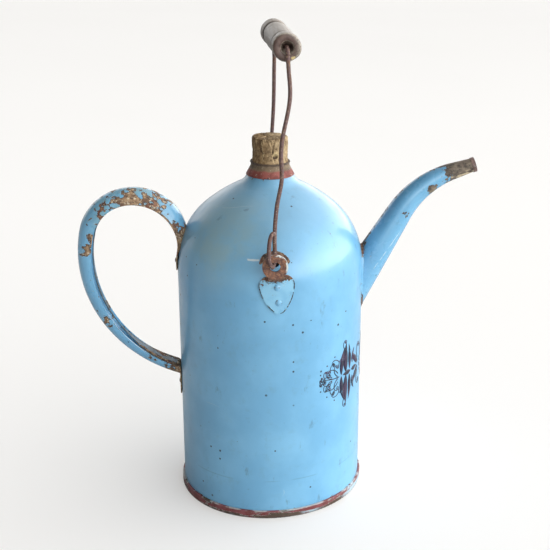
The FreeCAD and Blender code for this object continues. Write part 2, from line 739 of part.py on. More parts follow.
def bail_line():
    """The whole bail's centre line: front hook, front leg, crown, rear leg, rear hook."""
    front, rear = leg_points(-1, "front"), leg_points(1, "rear")
    crown = [front[0] + (rear[0] - front[0]) * share for share in CROWN_STATIONS]
    curve = Part.BSplineCurve()
    curve.interpolate(Points=front[::-1] + crown + rear)
    return curve.toShape()


def wire_ring(line, share):
    """The wire's section, part of the way along the bail; its seam always faces +X."""
    first, last = line.ParameterRange
    place = line.valueAt(first + (last - first) * share)
    heading = line.tangentAt(first + (last - first) * share)
    ring = Part.Wire(Part.makeCircle(size("wire_radius")))
    lean = math.degrees(math.atan2(-heading.y, heading.z))
    ring.Placement = Placement(place, Rotation(Vector(1, 0, 0), lean))
    return ring


line = bail_line()
wire_rings = [wire_ring(line, share) for share in (0, 0.5, 1)]
bail_wire = shape_feature("bail_wire", swept([line], wire_rings, Vector(1, 0, 0)))

bail_grip = turned(
    "bail_grip",
    [
        ("grip_bore", "mouth_depth - grip_half"),
        ("grip_mouth", "0 - grip_half"),
        ("grip_radius - grip_edge", "0 - grip_half", "grip_edge", 1),
        ("grip_radius", "grip_edge - grip_half"),
        ("grip_shoulder", "0 - groove_at - groove_flank"),
        ("grip_waist", "0 - groove_at"),
        ("barrel_end", "groove_flank - groove_at", "barrel_crown", 1),
        ("barrel_end", "groove_at - groove_flank"),
        ("grip_waist", "groove_at"),
        ("grip_shoulder", "groove_at + groove_flank"),
        ("grip_radius", "grip_half - grip_edge", "grip_edge", 1),
        ("grip_radius - grip_edge", "grip_half"),
        ("grip_mouth", "grip_half"),
        ("grip_bore", "grip_half - mouth_depth"),
    ],
    role="XY_Plane",
)
bail_grip.Placement = Placement(Vector(0, 0, 0), Rotation(Vector(0, 0, 1), 0))
bail_grip.setExpression("Placement.Base.x", bound("crown_x"))
bail_grip.setExpression("Placement.Base.z", bound("crown_height"))
bail_grip.setExpression("Placement.Rotation.Angle", bound("crown_yaw"))
doc.recompute()

# ---------------------------------------------------------------- checks and files
PIECES = [
    body_shell,
    base_plate,
    neck_collar,
    cork_stopper,
    spout_tube,
    spout_ferrule,
    handle_channel,
    handle_strip,
    handle_rivets,
    front_ear,
    rear_ear,
    ear_rivets,
    bail_wire,
    bail_grip,
]

failed = [item.Name for item in doc.Objects if "Invalid" in item.State or "Error" in item.State]
if failed:
    raise RuntimeError(f"objects that did not compute: {failed}")
for piece in PIECES:
    if piece.Shape.isNull() or not piece.Shape.isValid() or not piece.Shape.Solids:
        raise RuntimeError(f"{piece.Label} is not a valid solid")

os.makedirs("parts", exist_ok=True)
for piece in PIECES:
    piece.Shape.exportStep(f"parts/{piece.Label}.step")
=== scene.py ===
"""Looks for the enamelled pouring can: materials for its CAD pieces, a modelled cork and wooden grip,
a painted ornament on the wall, the rounded joint at the spout's root, floor, light and camera.

Sizes are in millimetres, in the can's own frame: +Z up, spout along +X, strap handle along -X, front ear
at -Y. The floor, the lights and the camera are placed in metres.
"""

import json
import math

import bpy
from mathutils import Matrix, Vector, noise


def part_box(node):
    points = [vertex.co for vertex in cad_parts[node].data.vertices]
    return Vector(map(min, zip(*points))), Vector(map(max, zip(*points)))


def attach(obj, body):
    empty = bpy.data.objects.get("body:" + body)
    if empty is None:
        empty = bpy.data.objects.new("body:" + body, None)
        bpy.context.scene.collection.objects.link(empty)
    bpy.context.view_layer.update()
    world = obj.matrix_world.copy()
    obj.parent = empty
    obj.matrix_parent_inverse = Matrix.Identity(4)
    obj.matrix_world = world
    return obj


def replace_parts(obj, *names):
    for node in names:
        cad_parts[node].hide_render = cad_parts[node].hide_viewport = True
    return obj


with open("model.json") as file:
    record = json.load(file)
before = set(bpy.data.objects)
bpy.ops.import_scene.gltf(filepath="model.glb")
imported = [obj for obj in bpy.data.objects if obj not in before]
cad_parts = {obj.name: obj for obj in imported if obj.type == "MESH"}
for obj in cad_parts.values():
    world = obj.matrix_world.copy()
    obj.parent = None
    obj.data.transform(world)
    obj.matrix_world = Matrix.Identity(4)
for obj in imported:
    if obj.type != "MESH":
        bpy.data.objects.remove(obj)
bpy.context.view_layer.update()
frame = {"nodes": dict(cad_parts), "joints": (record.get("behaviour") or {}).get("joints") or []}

MM = 0.001
JOINTS = {joint["name"]: joint for joint in frame["joints"]}


def top_corner(node):
    """A CAD piece's highest corner."""
    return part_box(node)[1] / MM


BODY_RADIUS = top_corner("body_shell").x
FOOT_TOP = top_corner("base_plate").z
SHOULDER_RADIUS = 70.0
SHOULDER_HEIGHT = 216.7
EAR_EYE = Vector((0, -90, JOINTS["bail_swing"]["pos_m"][2] / MM))
EAR_HEART = Vector((1.5, -83.5, 215.0))
# the spout: its centre line's start and slope, its taper, its meeting with the wall above and below, its tip
SPOUT_ROOT = Vector((60.8, 0, 166.1))
SPOUT_RISE = math.radians(59.6)
SPOUT_TAPER = 0.053
SPOUT_TOP = Vector((84, 0, 232))
SPOUT_CROTCH = Vector((84, 0, 172))
SPOUT_TIP = Vector((184, 0, 310))
ARCH_CENTRE = Vector((-117.2, 0, 237.2))


def paint(red, green, blue):
    """A display colour, 0 to 255, as the linear colour that the nodes take."""
    linear = []
    for level in (red, green, blue):
        share = level / 255
        linear.append(share / 12.92 if share <= 0.04045 else ((share + 0.055) / 1.055) ** 2.4)
    return (*linear, 1.0)


ENAMEL = paint(121, 182, 219)
ENAMEL_DEEP = paint(108, 169, 208)
GROUND_COAT = paint(40, 44, 54)
FLAKE = paint(200, 212, 212)
CREAM = paint(206, 196, 172)
RUST_DARK = paint(62, 47, 41)
RUST_RED = paint(106, 73, 58)
RUST_TAN = paint(150, 128, 102)


class Graph:
    """Shader nodes, made with short calls that return the new node's output."""

    def __init__(self, owner):
        owner.use_nodes = True
        self.tree = owner.node_tree
        self.tree.nodes.clear()

    def add(self, kind, inputs=None, **settings):
        node = self.tree.nodes.new("ShaderNode" + kind)
        for key, value in settings.items():
            setattr(node, key, value)
        for key, value in (inputs or {}).items():
            if isinstance(value, bpy.types.NodeSocket):
                self.tree.links.new(value, node.inputs[key])
            else:
                node.inputs[key].default_value = value
        return node

    def math(self, operation, first, second=0.0):
        return self.add("Math", {0: first, 1: second}, operation=operation).outputs[0]

    def chain(self, operation, values):
        result = values[0]
        for value in values[1:]:
            result = self.math(operation, result, value)
        return result

    def total(self, *values):
        return self.chain("ADD", values)

    def times(self, *values):
        return self.chain("MULTIPLY", values)

    def minus(self, first, second):
        return self.math("SUBTRACT", first, second)

    def size(self, value):
        return self.math("ABSOLUTE", value)

    def split(self, vector):
        return self.add("SeparateXYZ", {0: vector}).outputs

    def step(self, value, low, high, bottom=0.0, top=1.0):
        """Smooth step from bottom at low to top at high; low may be above high."""
        inputs = {"Value": value, "From Min": low, "From Max": high, "To Min": bottom, "To Max": top}
        return self.add("MapRange", inputs, interpolation_type="SMOOTHSTEP").outputs[0]

    def band(self, value, middle, inner, outer):
        """1 within inner of a middle value, falling to 0 at outer."""
        return self.step(self.size(self.minus(value, middle)), outer, inner)

    def mix(self, share, first, second):
        inputs = {0: share, 6: first, 7: second}
        return self.add("Mix", inputs, data_type="RGBA").outputs[2]

    def cover(self, colour, other, mask, low, high, most=1.0):
        """The other colour over the first where the mask goes from low to high, at most this much of it."""
        return self.mix(self.step(mask, low, high, 0, most), colour, other)


class Surface(Graph):
    """A material's nodes. x, y and z are in millimetres; the scales of noise and cells are per metre."""

    def __init__(self, name):
        self.material = bpy.data.materials.new(name)
        super().__init__(self.material)
        self.place = self.add("TexCoord").outputs["Object"]
        inputs = {0: self.place, "Scale": 1 / MM}
        self.spot = self.add("VectorMath", inputs, operation="SCALE").outputs[0]
        self.x, self.y, self.z = self.split(self.spot)
        self.facing = self.split(self.add("NewGeometry").outputs["Normal"])

    def noise(self, scale, detail=4.0, roughness=0.5, stretch=None, distortion=0.0):
        place = self.place
        if stretch:
            place = self.add("Mapping", {"Vector": place, "Scale": stretch}).outputs[0]
        inputs = {"Vector": place, "Scale": scale, "Detail": detail, "Roughness": roughness,
                  "Distortion": distortion}
        return self.add("TexNoise", inputs).outputs["Fac"]

    def cells(self, scale):
        """Distance from the nearest cell's centre, and that cell's own random value."""
        node = self.add("TexVoronoi", {"Vector": self.place, "Scale": scale})
        value = self.add("SeparateColor", {0: node.outputs["Color"]}).outputs[0]
        return node.outputs["Distance"], value

    def away(self, point, place=None):
        """The distance from a point."""
        inputs = {0: place or self.spot, 1: point}
        return self.add("VectorMath", inputs, operation="DISTANCE").outputs["Value"]

    def near(self, point, inner, outer):
        """1 within inner of a point, falling to 0 at outer."""
        return self.step(self.away(point), outer, inner)

    def finish(self, relief, depth, **inputs):
        """Close the graph with a Principled surface; in its sockets' names, underscores are spaces."""
        bump = {"Height": relief, "Distance": depth * MM, "Strength": 1.0}
        named = {key.replace("_", " "): value for key, value in inputs.items()}
        named["Normal"] = self.add("Bump", bump).outputs[0]
        surface = self.add("BsdfPrincipled", named)
        self.add("OutputMaterial", {"Surface": surface.outputs[0]})
        return self.material


# -------- enamel and rust in general
def rust_colour(graph, fine=1.0):
    """Patchy rust: dark scale, red-brown and tan powder."""
    colour = graph.cover(RUST_DARK, RUST_RED, graph.noise(150 * fine, 6, 0.7), 0.40, 0.58)
    colour = graph.cover(colour, RUST_TAN, graph.noise(460 * fine, 5, 0.65), 0.50, 0.64, 0.85)
    return graph.cover(colour, CREAM, graph.noise(640 * fine, 4, 0.7), 0.62, 0.66, 0.8)


def chip_depth(graph, wear, scale, ragged):
    """How deep in a chip a point is; below 0 the enamel holds. More wear makes the chips wider."""
    field = graph.total(
        graph.times(graph.noise(scale, 8, ragged, distortion=0.3), 0.62),
        graph.times(graph.noise(scale * 3.1, 4, 0.6), 0.24),
        graph.times(graph.cells(scale * 2.6)[0], 0.14),
    )
    return graph.minus(field, graph.minus(0.70, graph.times(wear, 0.30)))


def specks(graph, size):
    """Dark pits like pinheads, gathered in some areas and missing from others."""
    distance, chance = graph.cells(125)
    radius = graph.step(chance, 0.6, 1.0, 0.0, 0.085 * size)
    pit = graph.step(graph.minus(distance, radius), 0.014, 0.0)
    gathered = graph.step(graph.noise(24, 3, 0.6), 0.38, 0.48)
    return graph.times(pit, graph.step(chance, 0.66, 0.70), gathered)


def scratches(graph):
    """Hairlines that wander over the surface and fade out."""
    sweep = graph.noise(9, 1, 0.3, (1.0, 1.0, 2.6), 0.15)
    line = graph.band(sweep, 0.5, 0.0004, 0.0012)
    return graph.times(line, graph.step(graph.noise(34, 3), 0.6, 0.68))


def enamel(name, places=(), base=0.0, extra=None, colour=None, rust=rust_colour, over=None,
           coat=GROUND_COAT, coat_width=0.018, chip_scale=130.0, ragged=0.72, speckle=1.0, gloss=1.0):
    """Glossy vitreous enamel that chips to a ground coat and then to rusty steel.

    places lists (point, inner radius, outer radius, strength): where the enamel is most worn.
    extra may add to the wear, colour may change the enamel's own colour, rust gives the bare
    steel's and over changes the final one: all are functions of the graph.
    """
    graph = Surface(name)
    wear = base
    for point, inner, outer, strength in places:
        wear = graph.total(wear, graph.times(graph.near(point, inner, outer), strength))
    if extra:
        wear = graph.total(wear, extra(graph))
    depth = chip_depth(graph, wear, chip_scale, ragged)
    rim = graph.step(depth, -0.013, -0.002)
    chipped = graph.step(depth, 0.0, 0.007)
    core = graph.step(depth, 0.008, 0.008 + coat_width)
    speck = specks(graph, speckle)
    scratch = scratches(graph)

    clouds = graph.noise(22, 4, 0.55)
    shade = graph.cover(ENAMEL_DEEP, ENAMEL, clouds, 0.35, 0.7)
    grime = graph.noise(75, 6, 0.72)
    shade = graph.cover(shade, paint(96, 128, 140), grime, 0.52, 0.75, 0.2)
    if colour:
        shade = colour(graph, shade)
    smudge = graph.noise(85, 5, 0.7, (1.0, 1.0, 0.45))
    shade = graph.cover(shade, paint(72, 92, 106), smudge, 0.60, 0.72, 0.42)
    shade = graph.mix(graph.times(scratch, 0.5), shade, FLAKE)
    shade = graph.mix(graph.times(speck, 0.9), shade, paint(26, 30, 42))
    shade = graph.mix(graph.times(rim, 0.45), shade, FLAKE)
    shade = graph.mix(chipped, shade, coat)
    shade = graph.mix(core, shade, rust(graph))
    if over:
        shade = over(graph, shade)

    orange_peel = graph.noise(160, 2, 0.4)
    relief = graph.total(
        graph.times(orange_peel, 0.10),
        graph.times(clouds, 0.22),
        graph.times(chipped, -0.34),
        graph.times(graph.noise(700, 3), core, 0.22),
        graph.times(speck, -0.15),
    )
    dull = 0.35 * (1 - gloss)
    satin = graph.step(graph.noise(40, 5, 0.6), 0.35, 0.7, 0.2 + dull, 0.36 + dull)
    return graph.finish(
        relief, 1.0,
        Base_Color=shade,
        Roughness=graph.total(satin, graph.times(chipped, 0.42), graph.times(scratch, 0.2)),
        Coat_Weight=graph.step(chipped, 0.0, 1.0, 0.55 * gloss, 0.0),
        Coat_Roughness=0.12,
    )


def rusty_metal(name, tint, pale, fine=1.0, shine=0.0):
    """Bare steel under brown scale, pitted, with a little powdery rust in the hollows."""
    graph = Surface(name)
    scale = graph.noise(300 * fine, 6, 0.65)
    colour = graph.cover(tint, rust_colour(graph, fine), scale, 0.46, 0.62, 0.8)
    colour = graph.cover(colour, pale, graph.noise(500 * fine, 4, 0.65), 0.56, 0.66, 0.7)
    relief = graph.total(graph.times(scale, 0.5), graph.times(graph.cells(900 * fine)[0], 0.25))
    rough = graph.step(scale, 0.3, 0.7, 0.48, 0.85)
    return graph.finish(relief, 0.35, Base_Color=colour, Roughness=rough, Metallic=shine)


def front(graph, reach=20):
    """1 on the side of the front ear, reached this far from the middle plane."""
    return graph.step(graph.y, 0, -reach)


# -------- enamel, piece by piece
def wall_wear(graph):
    """Chips along the foot's seam, below the collar and in an arc round the front ear's eye."""
    seam = graph.step(graph.z, FOOT_TOP + 2.4, FOOT_TOP - 0.1, 0, 0.42)
    neck = graph.step(graph.z, 292, 300, 0, 0.45)
    ring = graph.near(EAR_EYE, 17, 19.5)
    arc = graph.times(ring, graph.step(graph.z, EAR_EYE.z - 3.6, EAR_EYE.z + 1.4), front(graph))
    return graph.total(seam, neck, graph.times(arc, 1.25))


def wall_colour(graph, shade):
    """A faint crease low down, a paler grey-green patch on the handle's shoulder, and painted shade that
    darkens the dome towards the top.
    """
    height = graph.minus(graph.z, graph.times(graph.noise(9, 2), 3.0))
    crease = graph.band(height, 35, 0.2, 0.7)
    broken = graph.times(crease, graph.step(graph.noise(26, 3), 0.48, 0.6), 0.2)
    shade = graph.mix(broken, shade, GROUND_COAT)
    # A paler grey-green patch on the handle's shoulder.
    shoulder = graph.near((-44, -50, 262), 12, 66)
    film = graph.times(shoulder, graph.step(graph.noise(34, 5, 0.65), 0.34, 0.62, 0.35, 0.8))
    shade = graph.mix(film, shade, paint(146, 174, 178))
    # Darker towards the top of the dome: painted shade.
    return graph.cover(shade, paint(104, 144, 168), graph.z, 236, 280, 0.4)


def ear_side_glint(graph, shade):
    """A painted highlight beside the front ear's eye: a pale horizontal streak."""
    along = graph.band(graph.x, EAR_EYE.x - 17.5, 4.2, 5.4)
    rise = graph.minus(graph.z, graph.times(graph.noise(160, 3), 1.6))
    highlight_streak = graph.times(along, graph.band(rise, EAR_EYE.z + 0.6, 0.5, 0.9), front(graph))
    return graph.mix(graph.times(highlight_streak, 0.8), shade, paint(206, 216, 218))


blue_wall = enamel(
    "blue_enamel_wall",
    places=[
        (SPOUT_TOP, 3, 14, 0.6),
        (SPOUT_CROTCH, 3, 12, 0.55),
        ((-82, 0, 222), 12, 24, 0.5),
        ((-82, 0, 101), 8, 18, 0.5),
        (EAR_HEART, 10, 24, 0.3),
        ((56, -45, 262), 2, 30, 0.2),
    ],
    base=0.06,
    extra=wall_wear,
    colour=wall_colour,
    # over paints a highlight beside the front ear's eye
    over=ear_side_glint,
    speckle=1.5,
    gloss=0.72,
)


def strap_wear(graph):
    """Chips along both edges of the strap, inside the arch and low down."""
    edge = graph.step(graph.size(graph.y), 7.5, 12.5, 0, 0.16)
    inner = graph.near(ARCH_CENTRE, 36, 40)
    low = graph.step(graph.z, 215, 160, 0, 0.12)
    return graph.total(edge, low, graph.times(inner, 0.2))


def strap_rust(graph):
    """Bare steel polished by the hand: tan with cream flecks and darker scale."""
    tan = graph.cover(paint(104, 80, 64), paint(166, 138, 106), graph.noise(210, 5, 0.65), 0.4, 0.6)
    tan = graph.cover(tan, paint(84, 72, 58), graph.noise(130, 5, 0.65), 0.54, 0.64, 0.75)
    tan = graph.cover(tan, paint(112, 62, 52), graph.noise(60, 4, 0.6), 0.54, 0.62, 0.6)
    return graph.cover(tan, CREAM, graph.noise(330, 5, 0.7), 0.55, 0.60)


def strap_colour(graph, shade):
    """A greenish film where the hand goes."""
    held = graph.near(ARCH_CENTRE + Vector((-8, 0, 34)), 16, 52)
    film = graph.times(held, graph.step(graph.noise(70, 5, 0.65), 0.36, 0.6, 0.15, 0.7))
    return graph.mix(film, shade, paint(112, 146, 146))


blue_strap = enamel(
    "blue_enamel_strap",
    places=[
        (ARCH_CENTRE + Vector((2, 0, 48)), 16, 42, 0.40),
        (ARCH_CENTRE + Vector((30, -4, 34)), 3, 14, 0.2),
        (ARCH_CENTRE + Vector((-30, -4, 28)), 4, 22, 0.24),
        (ARCH_CENTRE + Vector((36, 0, 20)), 4, 24, 0.2),
        (ARCH_CENTRE + Vector((-36, -8, 0)), 5, 16, 0.34),
        ((-82, 0, 230), 12, 32, 0.8),
        ((-86, 0, 112), 4, 26, 0.5),
    ],
    base=0.25,
    extra=strap_wear,
    colour=strap_colour,
    rust=strap_rust,
    coat=paint(66, 50, 46),
    coat_width=0.05,
    chip_scale=86,
    ragged=0.66,
)


def strip_wear(graph):
    """Tongues bare, and long chips along both edges of the inner face, where fingers rub."""
    tongue = graph.step(graph.x, -86.5, -84.8, 0, 0.9)
    half_width = graph.step(graph.z, 110, 250, 7.6, 11.8)
    edge = graph.math("DIVIDE", graph.size(graph.y), half_width)
    return graph.total(tongue, graph.step(edge, 0.2, 0.7, 0, 0.5))


def strip_colour(graph, shade):
    """The inner face is darkened all over, unevenly."""
    film = graph.step(graph.noise(90, 5, 0.65), 0.3, 0.6, 0.6, 0.95)
    return graph.mix(film, shade, paint(66, 80, 86))


blue_strip = enamel(
    "blue_enamel_strip",
    base=0.44,
    extra=strip_wear,
    colour=strip_colour,
    rust=strap_rust,
    coat=paint(60, 46, 44),
    coat_width=0.05,
    chip_scale=120,
    gloss=0.1,
)


def spout_wear(graph):
    """The spout's nose has lost nearly all its enamel, and its upper seam shows as a broken line."""
    narrow = graph.step(graph.size(graph.y), 3.6, 1.6)
    seam = graph.times(narrow, graph.step(graph.facing[0], -0.1, -0.45))
    nose = graph.times(graph.near(SPOUT_TIP, 20, 44), 1.05)
    return graph.total(nose, graph.times(seam, 0.42))


def spout_colour(graph, shade):
    """The enamel is darker on its upper side, a painted shade, and a broken pale streak runs along the front
    side: a painted highlight on the seam, with pale scratches.
    """
    # Darker where the surface faces up and towards the handle: painted shade.
    top = graph.minus(graph.facing[2], graph.facing[0])
    shade = graph.cover(shade, paint(70, 122, 158), top, 0.3, 1.2, 0.5)
    # A broken pale line along the front side: a painted highlight on the seam, with pale scratches.
    slope = graph.times(graph.minus(graph.x, SPOUT_ROOT.x), 1.42)
    lift = graph.minus(graph.minus(graph.z, SPOUT_ROOT.z), slope)
    lift = graph.total(lift, graph.times(graph.noise(40, 2), 2.4))
    line = graph.band(lift, 2.0, 0.3, 0.9)
    span = graph.times(graph.step(graph.x, 88, 92), graph.step(graph.x, 118, 112))
    highlight_streak = graph.times(line, span, graph.step(graph.noise(130, 3), 0.4, 0.5), front(graph, 4))
    return graph.mix(graph.times(highlight_streak, 0.75), shade, paint(196, 218, 228))


def nose_rust(graph):
    """Olive-brown steel, with a painted cream highlight underneath, broken into scratch-like flecks."""
    olive = graph.cover(paint(68, 60, 54), paint(112, 100, 88), graph.noise(180, 5, 0.65), 0.4, 0.6)
    # Cream flecks on the nose's underside: a painted highlight.
    highlight_flecks = graph.step(graph.noise(260, 5, 0.65, (0.5, 1, 1.4)), 0.46, 0.56)
    below = graph.step(graph.facing[2], 0.0, -0.5, 0.12, 0.9)
    share = graph.times(below, highlight_flecks, graph.step(graph.x, 150, 164, 0.3, 1.0))
    return graph.mix(share, olive, paint(206, 190, 158))


blue_spout = enamel(
    "blue_enamel_spout",
    places=[
        (SPOUT_TOP, 3, 18, 0.55),
        (SPOUT_CROTCH, 3, 16, 0.5),
        ((145, -9, 284), 2, 9, 0.95),
        ((121, -9, 262), 1, 6, 0.6),
    ],
    base=0.14,
    extra=spout_wear,
    colour=spout_colour,
    rust=nose_rust,
    coat=paint(64, 58, 58),
    coat_width=0.05,
)
blue_root = enamel(
    "blue_enamel_root",
    places=[(SPOUT_TOP, 6, 24, 0.8), (SPOUT_CROTCH, 10, 30, 1.0)],
    base=0.3,
)


def ear_wear(graph):
    """The eye is bare rusty metal; the heart keeps its enamel except along its outline."""
    eye = graph.step(graph.z, 226, 232, 0, 1.6)
    side = graph.step(graph.size(graph.facing[1]), 0.8, 0.4, 0, 0.8)
    lobes = graph.step(graph.z, 219, 226, 0, 0.3)
    return graph.total(eye, side, lobes)


def ear_colour(graph, shade):
    """The heart's enamel is paler than the wall's, and cloudy."""
    pale = graph.step(graph.noise(80, 4, 0.6), 0.3, 0.6, 0.15, 0.55)
    return graph.mix(pale, shade, paint(146, 202, 228))


def ear_edge(graph, shade):
    """The eye's orange-brown face and the crescent of white enamel left on its upper rim.

    Both ears are measured as if they were the front one.
    """
    warm = graph.cover(paint(92, 62, 58), paint(150, 106, 80), graph.noise(330, 5, 0.65), 0.42, 0.6)
    shade = graph.cover(shade, warm, graph.z, 229, 233, 0.72)
    outward = graph.minus(0.0, graph.size(graph.y))
    folded = graph.add("CombineXYZ", {0: graph.x, 1: outward, 2: graph.z}).outputs[0]
    across = graph.total(graph.x, graph.minus(graph.z, EAR_EYE.z))
    rim = graph.times(graph.step(graph.away(EAR_EYE, folded), 8.9, 9.5), graph.step(across, 3, 6))
    left = graph.step(graph.noise(240, 5, 0.7), 0.44, 0.5)
    return graph.mix(graph.times(rim, left), shade, paint(206, 214, 212))


blue_ear = enamel(
    "blue_enamel_ear",
    base=0.24,
    extra=ear_wear,
    colour=ear_colour,
    over=ear_edge,
    chip_scale=190,
)
blue_rivet = enamel("blue_enamel_rivets", base=0.5, chip_scale=240)


# -------- foot, collar, nose ring
def flaked(name, low_colour, high_colour, chip_share, fine=1.0, edge=None):
    """Red-brown enamel with long chips: pale rims round olive rust or bluish undercoat.

    edge is the height of the top edge, where a thin pale line shows; the bottom is then dark.
    """
    graph = Surface(name)
    broad = graph.noise(95 * fine, 6, 0.65)
    colour = graph.cover(low_colour, high_colour, broad, 0.38, 0.62)
    colour = graph.cover(colour, RUST_DARK, graph.noise(240 * fine, 5, 0.7), 0.55, 0.68, 0.5)
    patch = graph.noise(38 * fine, 7, 0.62, (1, 1, 5.0), 0.3)
    if edge:
        patch = graph.total(patch, graph.step(graph.z, 4.6, 2.2, 0, 0.075))
    depth = graph.minus(patch, 0.66 - chip_share)
    chip = graph.step(depth, 0, 0.008)
    olive = graph.mix(graph.noise(300 * fine, 5, 0.7), paint(44, 36, 34), paint(106, 88, 72))
    below = graph.cover(olive, paint(166, 188, 200), graph.noise(16 * fine, 2), 0.5, 0.56)
    colour = graph.mix(chip, colour, paint(204, 206, 202))
    colour = graph.cover(colour, below, depth, 0.010, 0.022)
    if edge:
        rise = graph.total(graph.z, graph.times(graph.noise(200, 4), 1.2))
        line = graph.step(rise, edge - 0.1, edge + 0.3)
        line = graph.times(line, graph.step(graph.noise(70, 4), 0.46, 0.56), 0.6)
        colour = graph.mix(line, colour, FLAKE)
        colour = graph.cover(colour, paint(48, 40, 44), graph.z, 1.4, 0.6, 0.75)
    grit = graph.times(graph.noise(800), 0.15)
    relief = graph.total(graph.times(broad, 0.3), graph.times(chip, -0.5), grit)
    return graph.finish(relief, 0.5, Base_Color=colour, Roughness=graph.step(chip, 0, 1, 0.42, 0.66))


def collar_material():
    """Olive-brown above, rust-red along the skirt, dark at the lip."""
    graph = Surface("collar_worn")
    broad = graph.noise(150, 6, 0.65)
    upper = graph.cover(paint(92, 78, 60), paint(124, 106, 84), broad, 0.4, 0.62)
    lower = graph.cover(paint(108, 52, 46), paint(140, 78, 70), broad, 0.4, 0.62)
    height = graph.minus(graph.z, graph.times(graph.noise(120, 3), 3.5))
    colour = graph.cover(lower, upper, height, 300.5, 302.2)
    colour = graph.cover(colour, RUST_DARK, graph.z, 307.4, 308.6, 0.7)
    flecks = graph.step(graph.noise(420, 5, 0.7), 0.62, 0.66)
    colour = graph.mix(graph.times(flecks, 0.7), colour, paint(182, 176, 160))
    spots = graph.step(graph.noise(260, 4, 0.6), 0.62, 0.66)
    colour = graph.mix(graph.times(spots, 0.8), colour, paint(52, 38, 44))
    relief = graph.total(graph.times(broad, 0.6), graph.times(flecks, 0.3), graph.times(spots, -0.3))
    return graph.finish(relief, 0.5, Base_Color=colour, Roughness=0.68)


FINISHES = {
    "body_shell": blue_wall,
    "base_plate": flaked("foot_enamel_worn", paint(116, 58, 58), paint(136, 78, 82), 0.125, edge=FOOT_TOP),
    "neck_collar": collar_material(),
    "spout_tube": blue_spout,
    "spout_ferrule": flaked("nose_ring_metal", paint(104, 84, 80), paint(140, 116, 108), 0.03, fine=2.0),
    "handle_channel": blue_strap,
    "handle_strip": blue_strip,
    "handle_rivets": rusty_metal("rivet_rust", paint(60, 42, 36), paint(134, 98, 70), 1.6),
    "front_ear": blue_ear,
    "rear_ear": blue_ear,
    "ear_rivets": blue_rivet,
    "bail_wire": rusty_metal("wire_rust", paint(96, 74, 74), paint(168, 146, 122), 1.3, 0.2),
}
for node_name, finish in FINISHES.items():
    for holder in frame["nodes"][node_name].material_slots:
        holder.material = finish


# -------- modelled pieces
def link_mesh(name, vertices, faces, material, unit):
    """An object whose vertices are given in this unit."""
    mesh = bpy.data.meshes.new(name)
    mesh.from_pydata([tuple(vertex * unit) for vertex in vertices], [], faces)
    mesh.validate()
    mesh.update()
    mesh.materials.append(material)
    made = bpy.data.objects.new(name, mesh)
    bpy.context.scene.collection.objects.link(made)
    return made


def piece(name, vertices, faces, material, body):
    """A smooth-shaded mesh that rides on a CAD body."""
    made = link_mesh(name, vertices, faces, material, MM)
    for polygon in made.data.polygons:
        polygon.use_smooth = True
    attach(made, body)
    return made


def ring_faces(rings, around, closed):
    """Quads between successive rings of vertices; closed joins the last ring to the first."""
    faces = []
    for ring in range(rings if closed else rings - 1):
        here, following = ring * around, (ring + 1) % rings * around
        for spoke in range(around):
            after = (spoke + 1) % around
            faces.append((here + spoke, here + after, following + after, following + spoke))
    return faces


def turned(angle, radius=1.0, height=0.0):
    """A point at an angle round the Z axis."""
    return Vector((radius * math.cos(angle), radius * math.sin(angle), height))


def angles(count):
    """Angles in radians, evenly round a circle."""
    return [2 * math.pi * number / count for number in range(count)]


def degrees_between(angle, other):
    """How far an angle in radians is past another in degrees, from -180 to 180 degrees."""
    return (math.degrees(angle) - other + 180) % 360 - 180


# cork: a tapered plug with cracks, pits and a bite in its side
CORK_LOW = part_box("cork_stopper")[0].z / MM
CORK_HIGH = top_corner("cork_stopper").z
CORK_HIGH_RADIUS = top_corner("cork_stopper").x
CORK_LOW_RADIUS = 15.35
CORK_FREE = 310.5
CORK_EDGE = 2.4
CORK_SIDE_TOP = CORK_HIGH - CORK_EDGE
CORK_LEVELS = 72
CORK_SPOKES = 180
CORK_EDGE_STEPS = 8
BITE_TURN, BITE_HEIGHT, BITE_RADIUS, BITE_DEPTH = -74.0, 316.0, 2.6, 2.2


def cork_dent(angle, radius, height):
    """How far the worn cork stands back from its plain form: lumps, pits, long cracks and one bite."""
    if height < CORK_FREE:
        return 0.0
    free = min(1.0, (height - CORK_FREE) / 2)
    point = turned(angle, radius, height)
    lumps = 0.7 * (0.5 + 0.5 * noise.noise(point * 0.17)) + 0.3 * (0.5 + 0.5 * noise.noise(point * 0.5))
    pits = 2.0 * max(0.0, noise.noise(point * 0.62) - 0.3) + 1.4 * max(0.0, noise.noise(point * 1.1) - 0.34)
    wander = noise.noise(point * 0.3) * 0.25
    flow = Vector((point.x * 0.24, point.y * 0.24, height * 0.045))
    crack = max(0.0, 1 - abs(noise.noise(flow + Vector((wander, 0, 4.2)))) / 0.07)
    fine_flow = Vector((point.x * 0.6, point.y * 0.6, height * 0.09))
    hairline = max(0.0, 1 - abs(noise.noise(fine_flow + Vector((0, wander, 9.7)))) / 0.06)
    across = math.radians(degrees_between(angle, BITE_TURN)) * CORK_LOW_RADIUS
    bite = max(0.0, 1 - math.hypot(across, height - BITE_HEIGHT) / BITE_RADIUS) ** 0.5
    return free * (lumps + pits + 1.5 * crack + 0.6 * hairline + BITE_DEPTH * bite)


def cork_rings():
    """Radius and height of each ring, from the bottom's middle out, up the side and back in on top."""
    rings = [(radius, CORK_LOW) for radius in (2.0, 8.0, 13.0, CORK_LOW_RADIUS - 0.3)]
    for level in range(CORK_LEVELS):
        share = (level + 0.3) / CORK_LEVELS
        radius = CORK_LOW_RADIUS + (CORK_HIGH_RADIUS - CORK_LOW_RADIUS) * share
        rings.append((radius, CORK_LOW + (CORK_SIDE_TOP - CORK_LOW) * share))
    for step in range(CORK_EDGE_STEPS + 1):
        angle = math.pi / 2 * step / CORK_EDGE_STEPS
        radius = CORK_HIGH_RADIUS - CORK_EDGE * (1 - math.cos(angle))
        rings.append((radius, CORK_SIDE_TOP + CORK_EDGE * math.sin(angle)))
    return rings + [(radius, CORK_HIGH) for radius in range(13, 0, -1)]


